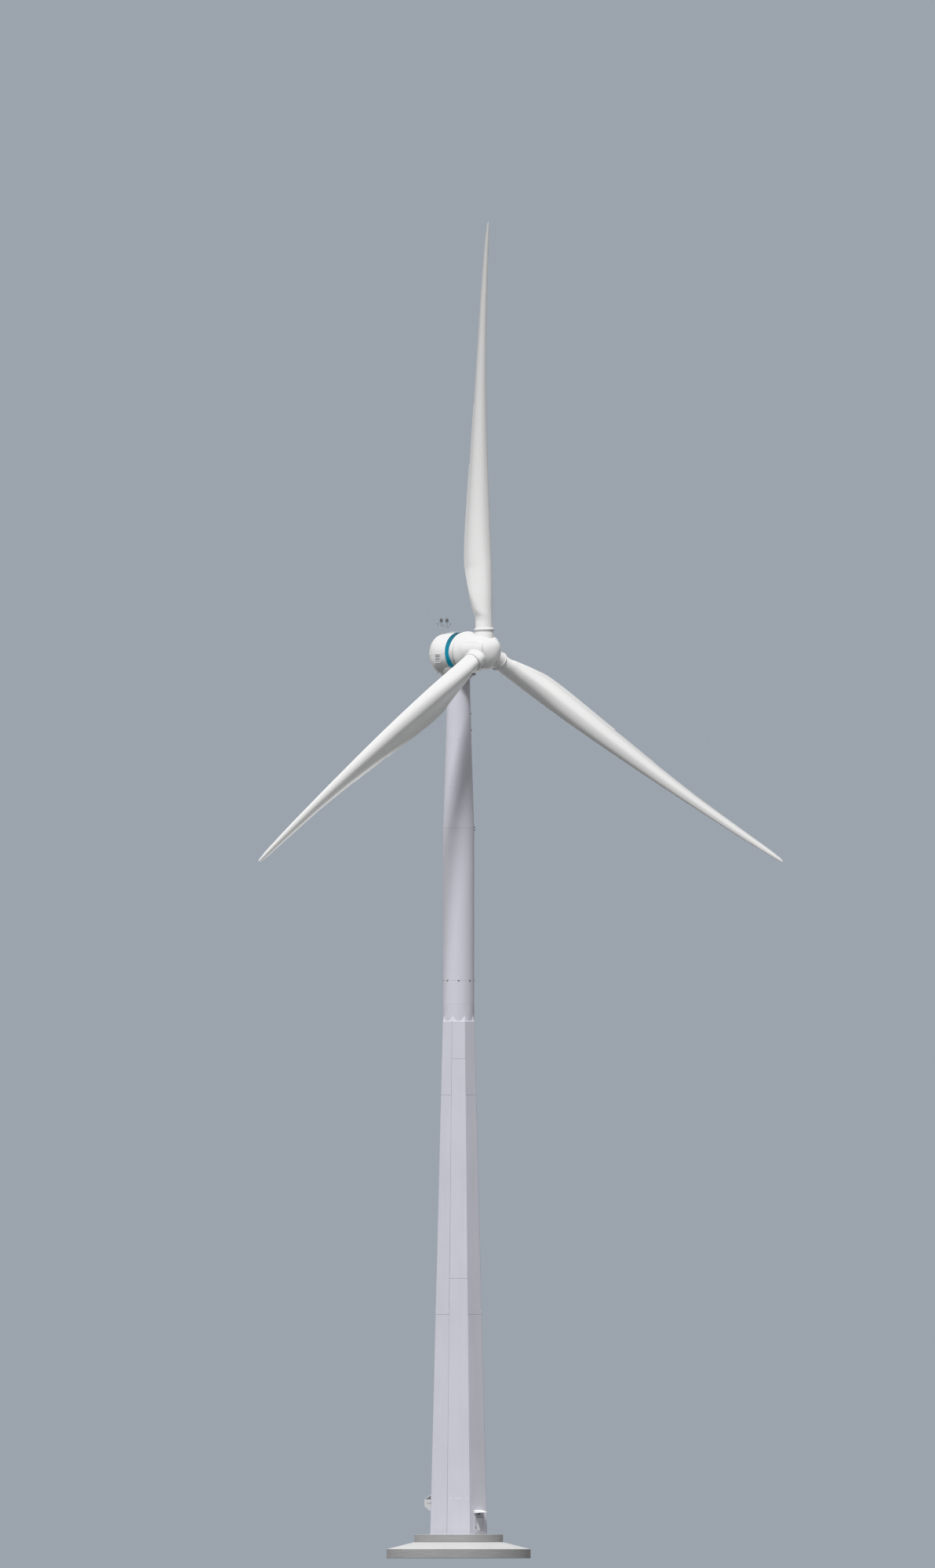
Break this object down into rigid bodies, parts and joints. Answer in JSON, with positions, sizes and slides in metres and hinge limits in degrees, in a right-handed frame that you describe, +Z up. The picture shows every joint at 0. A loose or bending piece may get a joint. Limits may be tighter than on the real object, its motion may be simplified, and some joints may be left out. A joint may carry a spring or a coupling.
{
  "type": "wind turbine, 1:10 scale model",
  "caption": "Hybrid-tower wind turbine at 1:10: round foundation, eight-sided concrete and round steel tower, yawing nacelle with weather mast, rotor with pitching blades, hinged tower door.",
  "frame": {"origin": "centre of the foundation's underside, on the tower's axis", "axes": "+Z up along the tower's axis; the rotor's nose points to -Y, and the tower door faces -Y"},
  "size_m": [10.2792, 2.2191, 18.5317],
  "materials": {
    "foundation_concrete": "cast concrete, float finished",
    "foundation_render": "pale sealed slope, matte",
    "tower_concrete": "smooth precast concrete, light grey",
    "tower_steel": "semi-gloss light grey paint",
    "door_steel": "semi-matte grey paint",
    "canopy_sheet": "white coated sheet",
    "shell_white": "gloss gel coat on glass fibre",
    "blade_white": "semi-gloss gel coat on glass fibre",
    "band_teal": "gloss teal paint",
    "bare_steel": "machined, oiled",
    "grey_metal": "satin grey paint",
    "lamp_lens": "dark lamp body and lens"
  },
  "bodies": {
    "tower": {"foundation_base": "foundation_concrete", "foundation_slope": "foundation_render", "foundation_pedestal": "foundation_concrete", "tower_plank_east": "tower_concrete", "tower_plank_northeast": "tower_concrete", "tower_plank_north": "tower_concrete", "tower_plank_northwest": "tower_concrete", "tower_plank_west": "tower_concrete", "tower_plank_southwest": "tower_concrete", "tower_plank_south": "tower_concrete", "tower_plank_southeast": "tower_concrete", "door_wall_left": "tower_concrete", "door_wall_right": "tower_concrete", "tower_middle_course": "tower_concrete", "tower_top_course": "tower_concrete", "tower_adapter": "tower_concrete", "steel_section_lower": "tower_steel", "steel_section_middle": "tower_steel", "steel_section_upper": "tower_steel", "tower_top_flange": "tower_steel", "door_frame": "door_steel", "door_canopy": "canopy_sheet", "air_box": "canopy_sheet"},
    "nacelle": {"nacelle_housing": "shell_white", "nacelle_band": "band_teal", "nacelle_front_ring": "shell_white", "main_shaft": "bare_steel", "yaw_ring": "bare_steel", "yaw_skirt": "grey_metal", "roof_hatch": "shell_white", "louvre_east": "grey_metal", "louvre_west": "grey_metal", "weather_mast": "grey_metal", "warning_light_left": "lamp_lens", "warning_light_right": "lamp_lens"},
    "rotor": {"hub_spinner": "shell_white", "rotor_drum": "shell_white"},
    "blade_1": {"blade_1": "blade_white"},
    "blade_2": {"blade_2": "blade_white"},
    "blade_3": {"blade_3": "blade_white"},
    "door": {"door_leaf": "door_steel"}
  },
  "joints": [
    {"name": "nacelle_yaw", "type": "hinge", "parent": "tower", "child": "nacelle", "pos_m": [0, 0, 12.205], "axis": [0, 0, 1], "range_deg": [-540, 540]},
    {"name": "rotor_spin", "type": "hinge", "parent": "nacelle", "child": "rotor", "pos_m": [0, -0.51, 12.58], "axis": [0, 0.9974, -0.0715], "continuous": true},
    {"name": "blade_1_pitch", "type": "hinge", "parent": "rotor", "child": "blade_1", "pos_m": [0, -0.51, 12.58], "axis": [0, -0.0366, -0.9993], "range_deg": [0, 90]},
    {"name": "blade_2_pitch", "type": "hinge", "parent": "rotor", "child": "blade_2", "pos_m": [0, -0.51, 12.58], "axis": [-0.8655, 0.0705, 0.4959], "range_deg": [0, 90]},
    {"name": "blade_3_pitch", "type": "hinge", "parent": "rotor", "child": "blade_3", "pos_m": [0, -0.51, 12.58], "axis": [0.8655, 0.0705, 0.4959], "range_deg": [0, 90]},
    {"name": "door_swing", "type": "hinge", "parent": "tower", "child": "door", "pos_m": [0.073, -0.404, 0.34], "axis": [0, 0, 1], "range_deg": [0, 110]}
  ]
}
